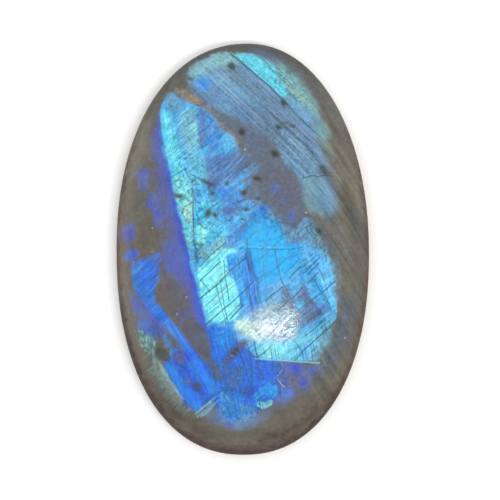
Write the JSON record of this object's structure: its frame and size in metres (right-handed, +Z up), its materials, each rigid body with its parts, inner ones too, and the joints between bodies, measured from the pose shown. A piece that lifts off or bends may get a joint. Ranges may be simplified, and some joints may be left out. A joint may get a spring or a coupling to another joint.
{
  "type": "rainbow moonstone cabochon",
  "caption": "Long oval polished stone with a flat back and a full dome, in grey-brown feldspar with a blue and cyan flash.",
  "frame": {"origin": "middle of the flat back, under the middle of the girdle's length and width", "axes": "+Y along the stone's length, towards the end that is at the top of the picture; +Z up through the dome; +X across, to the picture's right"},
  "size_m": [0.0258, 0.042, 0.0082],
  "materials": {
    "polished_feldspar": "gloss polish, with a blue and cyan flash in a grey-brown body"
  },
  "bodies": {
    "root": {"moonstone": "polished_feldspar"}
  },
  "joints": []
}
